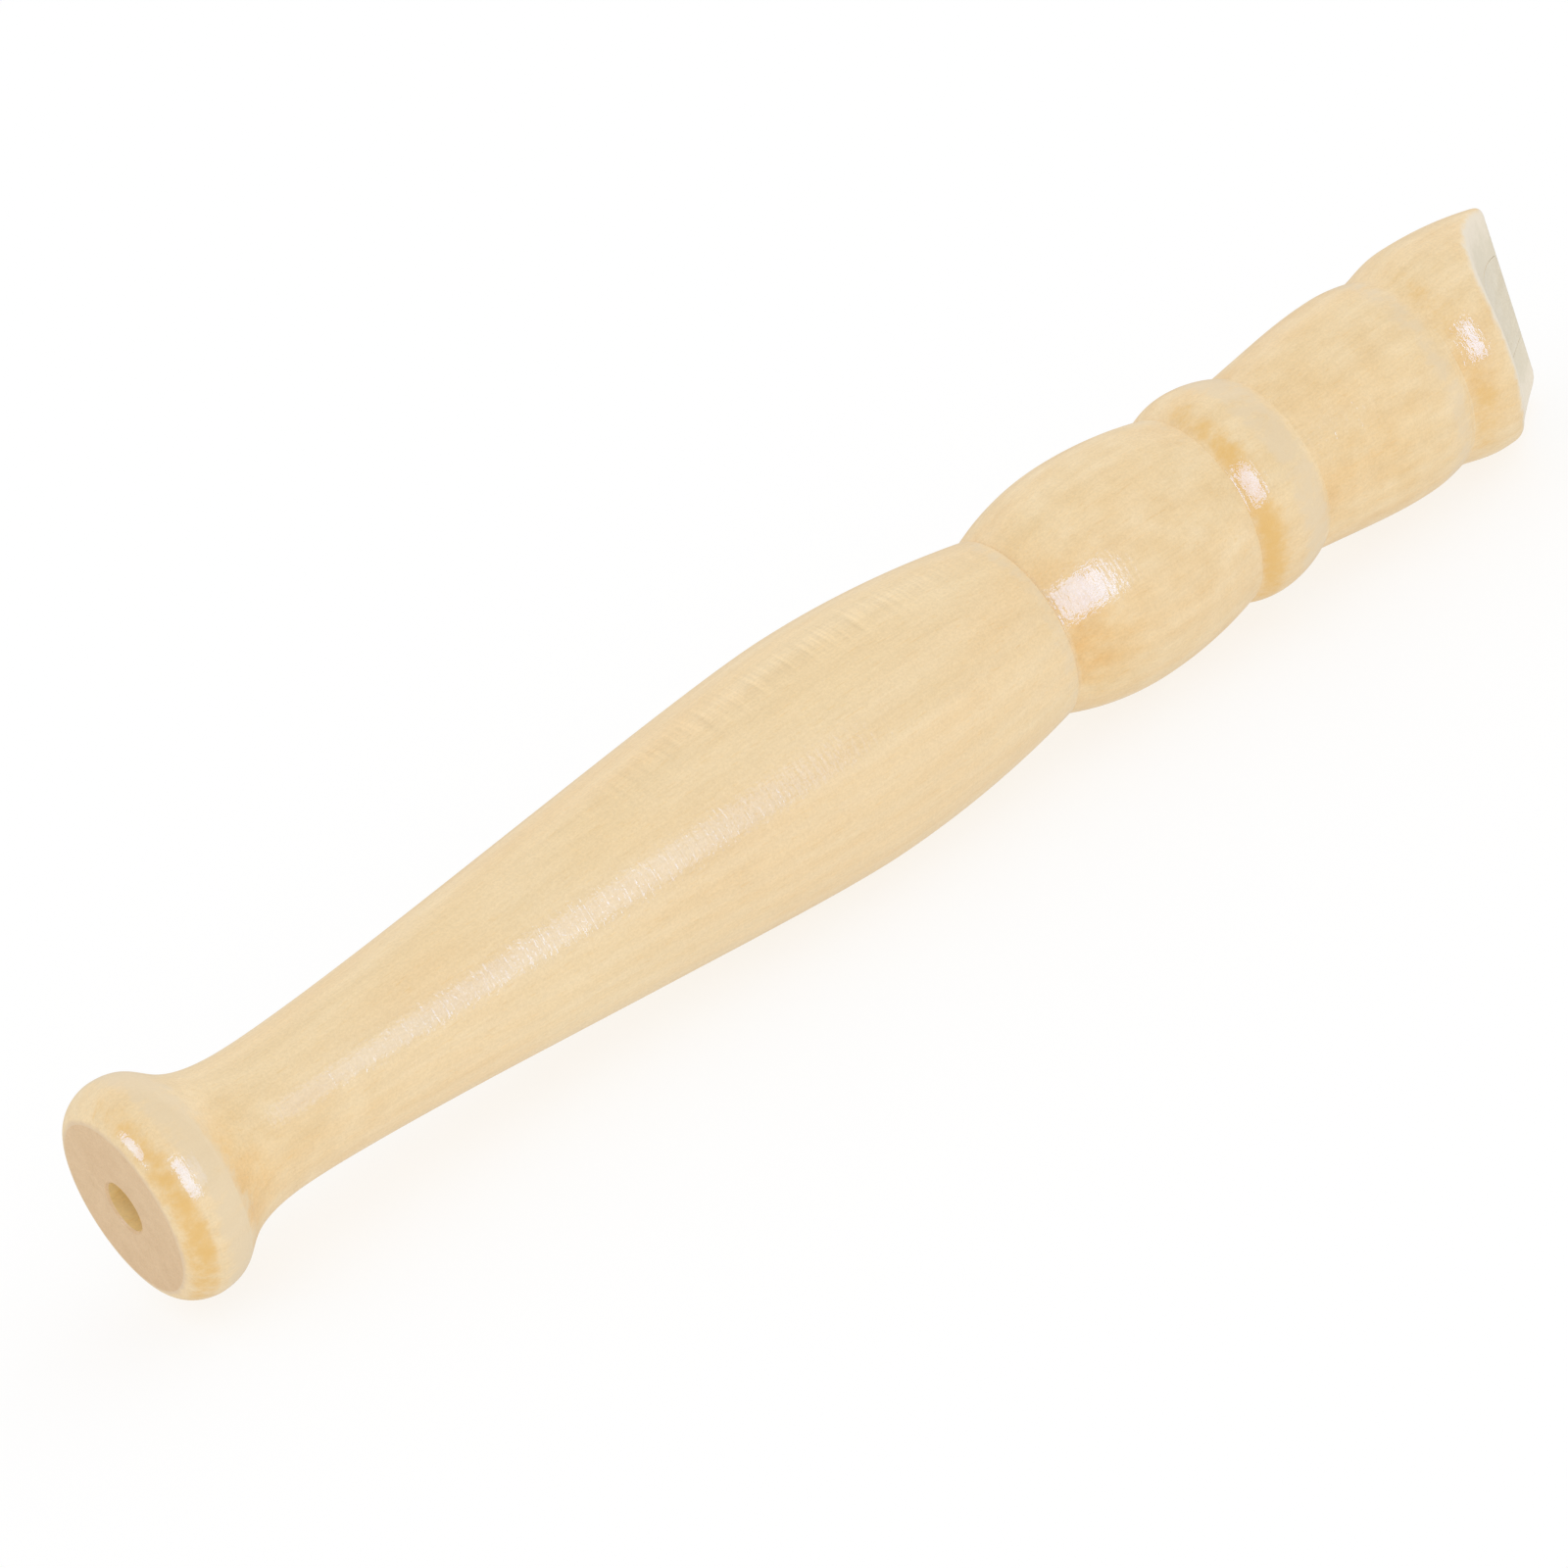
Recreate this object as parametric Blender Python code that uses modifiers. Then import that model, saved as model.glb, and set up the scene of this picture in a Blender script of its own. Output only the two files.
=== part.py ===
"""Small wooden recorder in two turned joints, lying on its side.

The long axis runs along X, with the foot at +X and the beak at -X. The window and the finger holes
face -Y, the hollow of the beak faces +Y, and the swell of the body rests on Z = 0. Every piece is
built on the axis of the recorder, where z is the height above the foot, y points to the back and
x points up. One empty lays that axis down. The head turns about it and pulls off along it.
"""
import math

import bmesh
import bpy
from mathutils import Vector
from mathutils.geometry import interpolate_bezier

MM = 0.001

# Clearances and facets
FIT_GAP = 0.3 * MM            # air between neighbouring pieces
SEGMENTS = 32                 # flats round a turned piece, one of them straight down
HOLE_SEGMENTS = 20
DRUM_SEGMENTS = 96
TAPER_STEPS = 12              # facets along each stretch of the turned outlines
FLARE_STEPS = 9
SHOULDER_STEPS = 7
CONE_STEPS = 7
BARREL_STEPS = 6              # in each half of the barrel
BEAD_STEPS = 5                # in each side of a small bead
EDGE_STEPS = 3                # in a rounded edge
OVERCUT = 4.0 * MM            # how far a cutter runs past the wood

# Body, from the foot upwards
FOOT_FACE_DIAMETER = 20.0 * MM
FOOT_ROUND = 4.1 * MM         # height of the rounded rim, face to widest
FLARE_DIAMETER = 25.6 * MM
FLARE_LENGTH = 14.8 * MM      # widest of the foot to the waist
WAIST_DIAMETER = 16.6 * MM
TAPER_LENGTH = 76.3 * MM      # waist to the swell
SWELL_DIAMETER = 28.0 * MM
SHOULDER_LENGTH = 26.4 * MM   # swell to the joint
NECK_DIAMETER = 22.3 * MM     # bottom of the groove where the joints meet
SHOULDER_EDGE = 0.6 * MM      # rounding of the body's edge in that groove

# Handles of the two long curves, as shares of their lengths
FLARE_EASE = (0.39, 0.80)
TAPER_EASE = (0.22, 0.18)

# Bore of the body and its finger holes
FOOT_BORE = 5.85 * MM
FINGER_HOLE = 5.2 * MM
FINGER_HOLE_COUNT = 6
LOWEST_HOLE = 32.0 * MM       # foot to the centre of the lowest hole
HOLE_PITCH = 13.5 * MM

# Tenon, socket and cork
SOCKET_WALL = 2.5 * MM        # rim of the barrel round its socket
TENON_LENGTH = 17.0 * MM
TENON_PLAY = 0.75 * MM        # tenon to socket, on the radius
TENON_WALL = 1.5 * MM         # wood left under the cork
TENON_CHAMFER = 0.6 * MM
CORK_THICKNESS = 1.3 * MM
CORK_WIDTH = 7.5 * MM
CORK_OFFSET = 4.5 * MM        # shoulder to the cork's groove

# Head, from the barrel upwards
BARREL_RISE = 13.2 * MM
BARREL_INSET = 0.3 * MM       # how far the barrel stays below the swell, on the radius
BARREL_FALL = 13.5 * MM
BARREL_EDGE = 0.3 * MM        # rounding of the barrel's rim round the socket
RING_GROOVE_DIAMETER = 23.5 * MM
RING_RISE = 4.2 * MM
RING_DIAMETER = 25.6 * MM
RING_FALL = 6.3 * MM
CONE_NECK_DIAMETER = 22.4 * MM
CONE_RISE = 16.4 * MM
CONE_SLOPE = 0.13             # rise of the radius at the cone's narrow end
CONE_EASE = (0.51, 0.29)
CONE_DIAMETER = 25.75 * MM
CONE_FALL = 5.0 * MM
MOUTH_GROOVE_DIAMETER = 24.6 * MM
MOUTH_RISE = 5.6 * MM
MOUTH_DIAMETER = 26.1 * MM
MOUTH_FALL = 13.9 * MM
LIP_DIAMETER = 23.6 * MM
LIP_ROUND = 1.0 * MM
HEAD_BORE = 11.5 * MM

# Beak, windway and window
BEAK_LENGTH = 12.7 * MM       # heel of the hollow to the lip
BEAK_DRUM_RADIUS = 26.0 * MM
BLOCK_LIP = 1.65 * MM         # wood of the block under the windway, at the lip
WINDWAY_HEIGHT = 1.5 * MM
WINDWAY_LENGTH = 24.5 * MM
WINDOW_LENGTH = 4.6 * MM
WINDOW_WIDTH = 7.4 * MM
LABIUM_EDGE = 0.5 * MM        # thickness of the sounding edge
RAMP_ANGLE = math.radians(26.0)

# Places on the axis, worked out from the sizes above
FLARE_HEIGHT = FOOT_ROUND
WAIST_HEIGHT = FLARE_HEIGHT + FLARE_LENGTH
SWELL_HEIGHT = WAIST_HEIGHT + TAPER_LENGTH
SHOULDER_HEIGHT = SWELL_HEIGHT + SHOULDER_LENGTH
TENON_TOP = SHOULDER_HEIGHT + TENON_LENGTH
GROOVE_BOTTOM = SHOULDER_HEIGHT + CORK_OFFSET
GROOVE_TOP = GROOVE_BOTTOM + CORK_WIDTH + 2 * FIT_GAP
HEAD_SEAT = SHOULDER_HEIGHT + FIT_GAP
BARREL_HEIGHT = HEAD_SEAT + BARREL_RISE
RING_GROOVE_HEIGHT = BARREL_HEIGHT + BARREL_FALL
RING_HEIGHT = RING_GROOVE_HEIGHT + RING_RISE
CONE_NECK_HEIGHT = RING_HEIGHT + RING_FALL
CONE_HEIGHT = CONE_NECK_HEIGHT + CONE_RISE
MOUTH_GROOVE_HEIGHT = CONE_HEIGHT + CONE_FALL
MOUTH_HEIGHT = MOUTH_GROOVE_HEIGHT + MOUTH_RISE
LIP_HEIGHT = MOUTH_HEIGHT + MOUTH_FALL
WINDOW_TOP = LIP_HEIGHT - WINDWAY_LENGTH
LABIUM_HEIGHT = WINDOW_TOP - WINDOW_LENGTH

# Diameters and radii that follow from the fits
BARREL_DIAMETER = SWELL_DIAMETER - 2 * BARREL_INSET
SOCKET_RADIUS = NECK_DIAMETER / 2 - SOCKET_WALL
TENON_RADIUS = SOCKET_RADIUS - TENON_PLAY
CORK_RADIUS = SOCKET_RADIUS - FIT_GAP
CORK_BORE_RADIUS = CORK_RADIUS - CORK_THICKNESS
GROOVE_RADIUS = CORK_BORE_RADIUS - FIT_GAP
TENON_BORE_RADIUS = GROOVE_RADIUS - TENON_WALL
BORE_RADIUS = HEAD_BORE / 2
WINDWAY_FLOOR = BORE_RADIUS - WINDWAY_HEIGHT
LIP_OFFSET = WINDWAY_FLOOR - BLOCK_LIP
WIDEST = max(SWELL_DIAMETER, BARREL_DIAMETER, FLARE_DIAMETER, MOUTH_DIAMETER, CONE_DIAMETER, RING_DIAMETER)
AXIS_HEIGHT = WIDEST / 2 * math.cos(math.pi / SEGMENTS)

SMOOTH_ANGLE = math.radians(28.0)


def clear_scene():
    """Remove every object of the scene."""
    for obj in list(bpy.data.objects):
        bpy.data.objects.remove(obj, do_unlink=True)


def new_collection(name):
    collection = bpy.data.collections.new(name)
    bpy.context.scene.collection.children.link(collection)
    return collection


def principled(name, colour, roughness, coat=0.0):
    """A plain Principled material; colour is linear red, green and blue."""
    material = bpy.data.materials.new(name)
    material.use_nodes = True
    shader = material.node_tree.nodes["Principled BSDF"]
    shader.inputs["Base Color"].default_value = (*colour, 1.0)
    shader.inputs["Roughness"].default_value = roughness
    shader.inputs["Metallic"].default_value = 0.0
    shader.inputs["Coat Weight"].default_value = coat
    return material


def level_arc(crest, end, steps):
    """Points (radius, height) from a crest to an end, on the circle that is level at the crest."""
    run = end[1] - crest[1]
    drop = crest[0] - end[0]
    radius = (run * run + drop * drop) / (2 * drop)
    angle = 2 * math.atan2(drop, abs(run))
    side = math.copysign(1.0, run)
    turns = [angle * step / steps for step in range(steps + 1)]
    return [(crest[0] - radius * (1 - math.cos(turn)), crest[1] + side * radius * math.sin(turn)) for turn in turns]


def long_curve(start, end, ease, steps, slope=0.0):
    """Bezier points (radius, height): handle shares in ease, level at the end, with a slope at the start."""
    run = end[1] - start[1]
    start_handle = (start[0] + slope * run * ease[0], start[1] + run * ease[0])
    end_handle = (end[0], end[1] - run * ease[1])
    knots = [Vector((*point, 0.0)) for point in (start, start_handle, end_handle, end)]
    return [(point.x, point.y) for point in interpolate_bezier(*knots, steps + 1)]


def quarter_round(inner, outer, steps):
    """Quarter ellipse (radius, height) that leaves inner level and meets outer upright."""
    turns = [math.pi / 2 * step / steps for step in range(steps + 1)]
    width = outer[0] - inner[0]
    height = outer[1] - inner[1]
    return [(inner[0] + width * math.sin(turn), inner[1] + height * (1 - math.cos(turn))) for turn in turns]


def eased_corner(before, corner, after, radius):
    """Arc (radius, height) that rounds a corner, touching the lines to the points before and after it."""
    back = (Vector(before) - Vector(corner)).normalized()
    onward = (Vector(after) - Vector(corner)).normalized()
    half = back.angle(onward) / 2
    centre = Vector(corner) + (back + onward).normalized() * (radius / math.sin(half))
    reach = radius / math.tan(half)
    start = (Vector(corner) + back * reach - centre) / radius
    end = (Vector(corner) + onward * reach - centre) / radius
    return [tuple(centre + radius * start.slerp(end, step / EDGE_STEPS)) for step in range(EDGE_STEPS + 1)]


def joined(*runs):
    """One outline from runs that share their end points."""
    points = list(runs[0])
    for run in runs[1:]:
        points.extend(run[1:])
    return points


def place(obj, collection, axis, location=(0.0, 0.0, 0.0), rotation=(0.0, 0.0, 0.0)):
    """Put an object in one collection and on the recorder's axis."""
    for old in list(obj.users_collection):
        old.objects.unlink(obj)
    collection.objects.link(obj)
    obj.parent = axis
    obj.location = location
    obj.rotation_euler = rotation
    return obj


def turned(name, outline, collection, axis, datum):
    """A closed outline (radius, height), spun about the axis, with a flat facing down.

    The outline runs down the outside and back up the inside. The object's origin is on the axis at
    the datum height.
    """
    count = len(outline)
    mesh = bpy.data.meshes.new(name)
    vertices = [(radius, 0.0, height - datum) for radius, height in outline]
    edges = [(index, (index + 1) % count) for index in range(count)]
    mesh.from_pydata(vertices, edges, [])
    obj = bpy.data.objects.new(name, mesh)
    place(obj, collection, axis, (0.0, 0.0, datum), (0.0, 0.0, math.pi / SEGMENTS))
    screw = obj.modifiers.new("Turning", "SCREW")
    screw.axis = "Z"
    screw.angle = 2 * math.pi
    screw.steps = SEGMENTS
    screw.render_steps = SEGMENTS
    screw.use_merge_vertices = True
    screw.merge_threshold = 0.000001
    return obj


def as_cutter(obj, cutters, axis, location, rotation=(0.0, 0.0, 0.0)):
    obj.hide_render = True
    obj.display_type = "WIRE"
    return place(obj, cutters, axis, location, rotation)


def cylinder_cutter(name, radius, length, segments, cutters, axis, location, rotation):
    bpy.ops.mesh.primitive_cylinder_add(vertices=segments, radius=radius, depth=length)
    obj = bpy.context.object
    obj.name = name
    return as_cutter(obj, cutters, axis, location, rotation)


def outline_cutter(name, points, width, cutters, axis):
    """A flat outline of (height, depth to the back), thickened across the recorder and made a mesh."""
    curve = bpy.data.curves.new(name, "CURVE")
    curve.dimensions = "2D"
    curve.fill_mode = "BOTH"
    curve.extrude = width / 2
    spline = curve.splines.new("POLY")
    spline.points.add(len(points) - 1)
    for knot, (height, depth) in zip(spline.points, points):
        knot.co = (height, depth, 0.0, 1.0)
    spline.use_cyclic_u = True
    sketch = bpy.data.objects.new(name + "_sketch", curve)
    bpy.context.scene.collection.objects.link(sketch)
    bpy.context.view_layer.update()
    evaluated = sketch.evaluated_get(bpy.context.evaluated_depsgraph_get())
    mesh = bpy.data.meshes.new_from_object(evaluated)
    weld = bmesh.new()
    weld.from_mesh(mesh)
    bmesh.ops.remove_doubles(weld, verts=weld.verts, dist=0.000001)
    bmesh.ops.recalc_face_normals(weld, faces=weld.faces)
    weld.to_mesh(mesh)
    weld.free()
    bpy.data.objects.remove(sketch, do_unlink=True)
    obj = bpy.data.objects.new(name, mesh)
    return as_cutter(obj, cutters, axis, (0.0, 0.0, 0.0), (0.0, -math.pi / 2, 0.0))


def cut(obj, cutter):
    boolean = obj.modifiers.new(cutter.name, "BOOLEAN")
    boolean.operation = "DIFFERENCE"
    boolean.solver = "EXACT"
    boolean.object = cutter


def finish(obj, material):
    """Apply the modifiers, shade the round faces smooth and give the piece its material."""
    bpy.context.view_layer.update()
    evaluated = obj.evaluated_get(bpy.context.evaluated_depsgraph_get())
    mesh = bpy.data.meshes.new_from_object(evaluated)
    obj.modifiers.clear()
    obj.data = mesh
    mesh.name = obj.name
    mesh.materials.clear()
    mesh.materials.append(material)
    mesh.shade_smooth()
    mesh.set_sharp_from_angle(angle=SMOOTH_ANGLE)


def body_outline():
    """Tenon, shoulder, swell, taper, waist and flared foot, then the tapered bore."""
    shoulder = (NECK_DIAMETER / 2, SHOULDER_HEIGHT)
    swell = (SWELL_DIAMETER / 2, SWELL_HEIGHT)
    waist = (WAIST_DIAMETER / 2, WAIST_HEIGHT)
    flare = (FLARE_DIAMETER / 2, FLARE_HEIGHT)
    face = (FOOT_FACE_DIAMETER / 2, 0.0)
    tenon_root = (TENON_RADIUS, SHOULDER_HEIGHT)
    tenon = [
        (TENON_RADIUS - TENON_CHAMFER, TENON_TOP),
        (TENON_RADIUS, TENON_TOP - TENON_CHAMFER),
        (TENON_RADIUS, GROOVE_TOP),
        (GROOVE_RADIUS, GROOVE_TOP),
        (GROOVE_RADIUS, GROOVE_BOTTOM),
        (TENON_RADIUS, GROOVE_BOTTOM),
        tenon_root,
    ]
    fall = level_arc(swell, shoulder, SHOULDER_STEPS)
    edge = eased_corner(fall[-2], shoulder, tenon_root, SHOULDER_EDGE)
    outside = joined(
        edge[::-1] + fall[-2::-1],
        long_curve(waist, swell, TAPER_EASE, TAPER_STEPS)[::-1],
        long_curve(flare, waist, FLARE_EASE, FLARE_STEPS)[::-1],
        quarter_round(face, flare, BEAD_STEPS)[::-1],
    )
    bore = [(FOOT_BORE / 2, 0.0), (TENON_BORE_RADIUS, TENON_TOP)]
    return tenon + outside + bore


def head_outline():
    """Lip, mouthpiece, cone, ring and barrel, then the socket and the straight bore."""
    lip_face = (LIP_DIAMETER / 2 - LIP_ROUND, LIP_HEIGHT)
    lip = (LIP_DIAMETER / 2, LIP_HEIGHT - LIP_ROUND)
    mouth = (MOUTH_DIAMETER / 2, MOUTH_HEIGHT)
    mouth_groove = (MOUTH_GROOVE_DIAMETER / 2, MOUTH_GROOVE_HEIGHT)
    cone = (CONE_DIAMETER / 2, CONE_HEIGHT)
    cone_neck = (CONE_NECK_DIAMETER / 2, CONE_NECK_HEIGHT)
    ring = (RING_DIAMETER / 2, RING_HEIGHT)
    ring_groove = (RING_GROOVE_DIAMETER / 2, RING_GROOVE_HEIGHT)
    barrel = (BARREL_DIAMETER / 2, BARREL_HEIGHT)
    barrel_rim = (NECK_DIAMETER / 2, HEAD_SEAT)
    socket_rim = (SOCKET_RADIUS, HEAD_SEAT)
    rise = level_arc(barrel, barrel_rim, BARREL_STEPS)
    edge = eased_corner(rise[-2], barrel_rim, socket_rim, BARREL_EDGE)
    outside = joined(
        quarter_round(lip_face, lip, EDGE_STEPS),
        level_arc(mouth, lip, BEAD_STEPS)[::-1],
        level_arc(mouth, mouth_groove, BEAD_STEPS),
        level_arc(cone, mouth_groove, BEAD_STEPS)[::-1],
        long_curve(cone_neck, cone, CONE_EASE, CONE_STEPS, CONE_SLOPE)[::-1],
        level_arc(ring, cone_neck, BEAD_STEPS)[::-1],
        level_arc(ring, ring_groove, BEAD_STEPS),
        level_arc(barrel, ring_groove, BARREL_STEPS)[::-1],
        rise[:-1] + edge,
    )
    socket_floor = TENON_TOP + FIT_GAP
    inside = [
        socket_rim,
        (SOCKET_RADIUS, socket_floor),
        (BORE_RADIUS, socket_floor),
        (BORE_RADIUS, LIP_HEIGHT),
    ]
    return outside + inside


def cork_outline():
    """A plain ring in the tenon's groove, standing a little proud of the tenon."""
    bottom = GROOVE_BOTTOM + FIT_GAP
    top = bottom + CORK_WIDTH
    return [(CORK_RADIUS, top), (CORK_RADIUS, bottom), (CORK_BORE_RADIUS, bottom), (CORK_BORE_RADIUS, top)]


def beak_drum(cutters, axis):
    """The drum that hollows the beak: a cylinder across the recorder, through the lip and the heel."""
    lip = Vector((-LIP_OFFSET, LIP_HEIGHT))
    heel = Vector((MOUTH_DIAMETER / 2, LIP_HEIGHT - BEAK_LENGTH))
    chord = heel - lip
    outwards = Vector((-chord.y, chord.x)).normalized()
    reach = math.sqrt(BEAK_DRUM_RADIUS ** 2 - (chord.length / 2) ** 2)
    centre = (lip + heel) / 2 + outwards * reach
    width = WIDEST + 2 * OVERCUT
    return cylinder_cutter("beak_drum", BEAK_DRUM_RADIUS, width, DRUM_SEGMENTS, cutters, axis,
                           (0.0, centre.x, centre.y), (0.0, math.pi / 2, 0.0))


def window_cutter(cutters, axis):
    """The window and the ramp of the labium below it, in one outline of (height, depth to the back)."""
    outer = -(WIDEST / 2 + OVERCUT)
    inner = -WINDWAY_FLOOR / 2
    edge = -(BORE_RADIUS + LABIUM_EDGE)
    ramp_foot = LABIUM_HEIGHT - (edge - outer) / math.tan(RAMP_ANGLE)
    outline = [
        (WINDOW_TOP, inner),
        (LABIUM_HEIGHT, inner),
        (LABIUM_HEIGHT, edge),
        (ramp_foot, outer),
        (WINDOW_TOP, outer),
    ]
    return outline_cutter("window_and_ramp", outline, WINDOW_WIDTH, cutters, axis)


def finger_hole_cutters(cutters, axis):
    """One drill for each finger hole, from the bore out through the front."""
    length = WIDEST / 2 + OVERCUT
    for index in range(FINGER_HOLE_COUNT):
        height = LOWEST_HOLE + index * HOLE_PITCH
        yield cylinder_cutter(f"finger_drill_{index + 1}", FINGER_HOLE / 2, length, HOLE_SEGMENTS, cutters, axis,
                              (0.0, -length / 2, height), (math.pi / 2, 0.0, 0.0))


def windway_cutter(cutters, axis):
    """The flat of the block, which is the floor of the windway."""
    depth = WINDWAY_HEIGHT + OVERCUT
    bpy.ops.mesh.primitive_cube_add(size=1.0)
    obj = bpy.context.object
    obj.name = "windway_flat"
    obj.scale = (HEAD_BORE + OVERCUT, depth, WINDWAY_LENGTH + 2 * OVERCUT)
    return as_cutter(obj, cutters, axis, (0.0, -WINDWAY_FLOOR - depth / 2, LIP_HEIGHT - WINDWAY_LENGTH / 2))


def make_block(parts, axis):
    """The plug that fills the bore from the window to the lip."""
    bpy.ops.mesh.primitive_cylinder_add(vertices=SEGMENTS, radius=BORE_RADIUS - FIT_GAP, depth=WINDWAY_LENGTH)
    obj = bpy.context.object
    obj.name = "fipple_block"
    centre = LIP_HEIGHT - WINDWAY_LENGTH / 2
    return place(obj, parts, axis, (0.0, 0.0, centre), (0.0, 0.0, math.pi / SEGMENTS))


def main():
    clear_scene()
    parts = new_collection("Wooden recorder")
    cutters = new_collection("Recorder cutters")

    axis = bpy.data.objects.new("recorder_axis", None)
    axis.location = (LIP_HEIGHT / 2, 0.0, AXIS_HEIGHT)
    axis.rotation_euler = (0.0, -math.pi / 2, 0.0)
    parts.objects.link(axis)

    lacquered = principled("lacquered_wood", (0.80, 0.61, 0.36), 0.30, 0.6)
    bare = principled("bare_wood", (0.72, 0.53, 0.32), 0.65)
    cork = principled("cork", (0.46, 0.28, 0.14), 0.85)

    body = turned("body_joint", body_outline(), parts, axis, 0.0)
    for drill in finger_hole_cutters(cutters, axis):
        cut(body, drill)

    ring = turned("tenon_cork", cork_outline(), parts, axis, SHOULDER_HEIGHT)

    drum = beak_drum(cutters, axis)
    head = turned("head_joint", head_outline(), parts, axis, HEAD_SEAT)
    cut(head, window_cutter(cutters, axis))
    cut(head, drum)

    block = make_block(parts, axis)
    cut(block, windway_cutter(cutters, axis))
    cut(block, drum)

    for obj, material in ((body, lacquered), (ring, cork), (head, lacquered), (block, bare)):
        finish(obj, material)


main()
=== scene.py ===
import math

import bpy
import numpy as np
from mathutils import Matrix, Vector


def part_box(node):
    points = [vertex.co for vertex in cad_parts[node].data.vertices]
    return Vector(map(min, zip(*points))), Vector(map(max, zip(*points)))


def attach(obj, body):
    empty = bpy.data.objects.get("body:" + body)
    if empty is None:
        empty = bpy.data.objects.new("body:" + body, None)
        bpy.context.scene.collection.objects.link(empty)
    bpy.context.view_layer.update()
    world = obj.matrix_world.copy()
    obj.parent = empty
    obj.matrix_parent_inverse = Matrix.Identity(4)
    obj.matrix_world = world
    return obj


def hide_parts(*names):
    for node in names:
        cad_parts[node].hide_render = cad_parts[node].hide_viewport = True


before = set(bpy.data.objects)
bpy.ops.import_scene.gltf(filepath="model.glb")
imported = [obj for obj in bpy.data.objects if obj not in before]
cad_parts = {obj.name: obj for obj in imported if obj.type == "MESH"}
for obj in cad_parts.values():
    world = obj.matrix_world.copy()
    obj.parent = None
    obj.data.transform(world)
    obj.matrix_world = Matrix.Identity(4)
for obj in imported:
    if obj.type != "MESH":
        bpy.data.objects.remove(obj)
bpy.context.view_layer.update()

mm = 0.001
bodyLow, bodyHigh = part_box("body_joint")
headLow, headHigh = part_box("head_joint")
corkLow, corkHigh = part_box("tenon_cork")
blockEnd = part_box("fipple_block")[1].x  # the block's lower end, at the window

# where the recorder lies; lengths in the shape dictionaries are millimetres, heights run from the foot
recorder = {
    "footX": bodyHigh.x,  # end face of the foot
    "axisZ": (bodyLow.z + bodyHigh.z) / 2,  # height of the long axis over the floor
    "around": 192,  # points round a turned piece
    "seam": 0.149,  # how far each joint reaches into the frame's 0.3 gap
    "sharpEdge": math.radians(38),  # edges steeper than this stay crisp
}


def heightOf(x):
    # distance from the foot's face, in millimetres
    return (recorder["footX"] - x) / mm


# Turned outlines: arrays of (radius, height)

def circleThrough(crest, end):
    # radius of the circle that is level at the crest: (run squared + drop squared) / twice the drop
    run, drop = end[1] - crest[1], crest[0] - end[0]
    return (run * run + drop * drop) / (2 * drop)


def easedCurve(start, end, ease, count, slope=0.0):
    # cubic Bezier: leaves the start with a slope, arrives level, handles are shares of the length
    run = end[1] - start[1]
    knots = np.array((start,
                      (start[0] + slope * run * ease[0], start[1] + run * ease[0]),
                      (end[0], end[1] - run * ease[1]),
                      end))
    t = np.linspace(0, 1, count)[:, None]
    return ((1 - t) ** 3 * knots[0] + 3 * (1 - t) ** 2 * t * knots[1]
            + 3 * (1 - t) * t * t * knots[2] + t ** 3 * knots[3])


def rolledArc(crest, edge, roll, counts):
    # circle level at the crest, then a small circle of radius roll inside it, until it faces along the axis
    side = math.copysign(1.0, edge[1] - crest[1])
    radius = circleThrough(crest, edge)
    rollRun = abs(edge[1] - crest[1]) - roll
    rollOut = math.sqrt((radius - roll) ** 2 - rollRun ** 2)
    turn = math.atan2(rollRun, rollOut)
    big = np.linspace(0, turn, counts[0])
    small = np.linspace(turn, math.pi / 2, counts[1])[1:]
    out = np.concatenate((radius * np.cos(big), rollOut + roll * np.cos(small)))
    run = np.concatenate((radius * np.sin(big), rollRun + roll * np.sin(small)))
    return np.column_stack((crest[0] - radius + out, crest[1] + side * run))


def roundedRim(face, crest, squareness, count):
    # quarter of a superellipse from a flat face out to the widest place
    t = np.linspace(0, math.pi / 2, count)
    power = 2 / squareness
    return np.column_stack((face[0] + (crest[0] - face[0]) * np.sin(t) ** power,
                            face[1] + (crest[1] - face[1]) * (1 - np.cos(t) ** power)))


def stepped(corners, step):
    # straight runs through the corners, with a point about every step
    corners = np.array(corners, float)
    spans = np.linalg.norm(np.diff(corners, axis=0), axis=1)
    counts = np.maximum(np.ceil(spans / step).astype(int), 1)
    along = np.concatenate([i + np.arange(n) / n for i, n in enumerate(counts)] + [[len(spans)]])
    whole = np.arange(len(corners))
    return np.column_stack([np.interp(along, whole, corners[:, k]) for k in (0, 1)])


# Surfaces on a grid of rows by turns

turns = np.linspace(0, 2 * math.pi, recorder["around"], endpoint=False)


def placed(height, back, up):
    # heights run from the foot towards -X; back (+Y) and up (+Z) are measured from the long axis
    height, back, up = np.broadcast_arrays(height, back, up)
    return np.stack((recorder["footX"] - height * mm, back * mm, recorder["axisZ"] + up * mm), axis=-1)


def lay(radius, height, turn):
    # turn 0 is the back and a quarter turn is up
    return placed(height, radius * np.cos(turn), radius * np.sin(turn))


def allRound(column):
    # one value for each row, the same at every turn
    return np.repeat(np.asarray(column)[:, None], recorder["around"], axis=1)


def sharesOf(count):
    # even shares up to 1, without the 0, where the rows before them end
    return np.linspace(0, 1, count)[1:, None]


sandingWaves = {
    "seed": 7,
    "count": 14,
    "alongs": (0.05, 0.30),  # radians in a millimetre along the wood
    "shares": (0.3, 1.0),  # of the depth
    "depth": 0.008,
    "lobes": 5,  # fewer than this round the wood
}


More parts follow.
